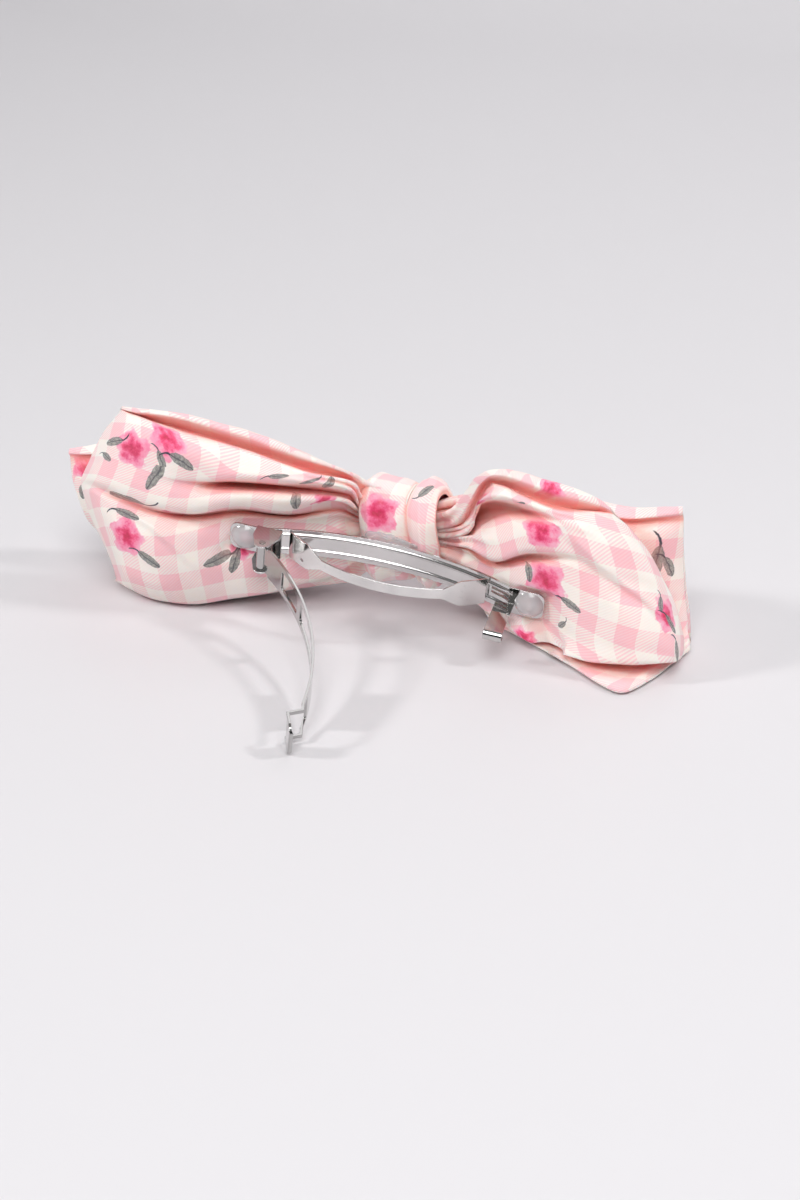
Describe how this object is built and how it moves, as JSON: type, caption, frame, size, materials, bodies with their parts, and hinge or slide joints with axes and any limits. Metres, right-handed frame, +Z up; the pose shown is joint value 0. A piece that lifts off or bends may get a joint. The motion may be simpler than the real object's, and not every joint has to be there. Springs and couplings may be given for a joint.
{
  "type": "bow hair barrette",
  "caption": "Large double-layer fabric bow glued to a metal spring-clasp hair barrette, standing open on its prop arm; the arm closes over the base and latches behind a hook.",
  "frame": {"origin": "centre of the bottom of the bounding box, on the table plane that the standing bow and the arm's tip touch", "axes": "+X along the bow towards the catch end, +Y from the clip towards the bow's show side, +Z up from the table"},
  "size_m": [0.166, 0.0992, 0.0504],
  "materials": {
    "base_steel": "bright nickel-plated steel",
    "spring_steel": "bright nickel-plated spring steel",
    "arm_steel": "bright nickel-plated steel",
    "catch_steel": "bright nickel-plated spring steel",
    "clear_glue": "set clear hot-melt adhesive",
    "bow_cloth": "pink and cream gingham twill with a printed rose pattern",
    "knot_cloth": "pink and cream gingham twill with a printed rose pattern",
    "thread": "white polyester thread"
  },
  "bodies": {
    "barrette": {"base_plate": "base_steel", "tension_spring": "spring_steel", "glue_dome_left": "clear_glue", "glue_dome_right": "clear_glue", "glue_pad_center": "clear_glue", "back_bow_loops": "bow_cloth", "front_bow_loops": "bow_cloth", "knot_band": "knot_cloth", "gathering_thread": "thread"},
    "clasp": {"clasp_arm": "arm_steel"},
    "catch": {"catch_hook": "catch_steel"}
  },
  "joints": [
    {"name": "clasp_hinge", "type": "hinge", "parent": "barrette", "child": "clasp", "pos_m": [-0.02171, 0.01311, 0.01995], "axis": [0.1392, -0.189, 0.9721], "range_deg": [0, 60], "deforming": ["tension_spring"]},
    {"name": "catch_release", "type": "hinge", "parent": "barrette", "child": "catch", "pos_m": [0.03794, 0.02054, 0.01162], "axis": [-0.9903, -0.0266, 0.1366], "range_deg": [0, 10], "stiffness_Nm_per_rad": 0.02, "springref_deg": -1.15}
  ]
}
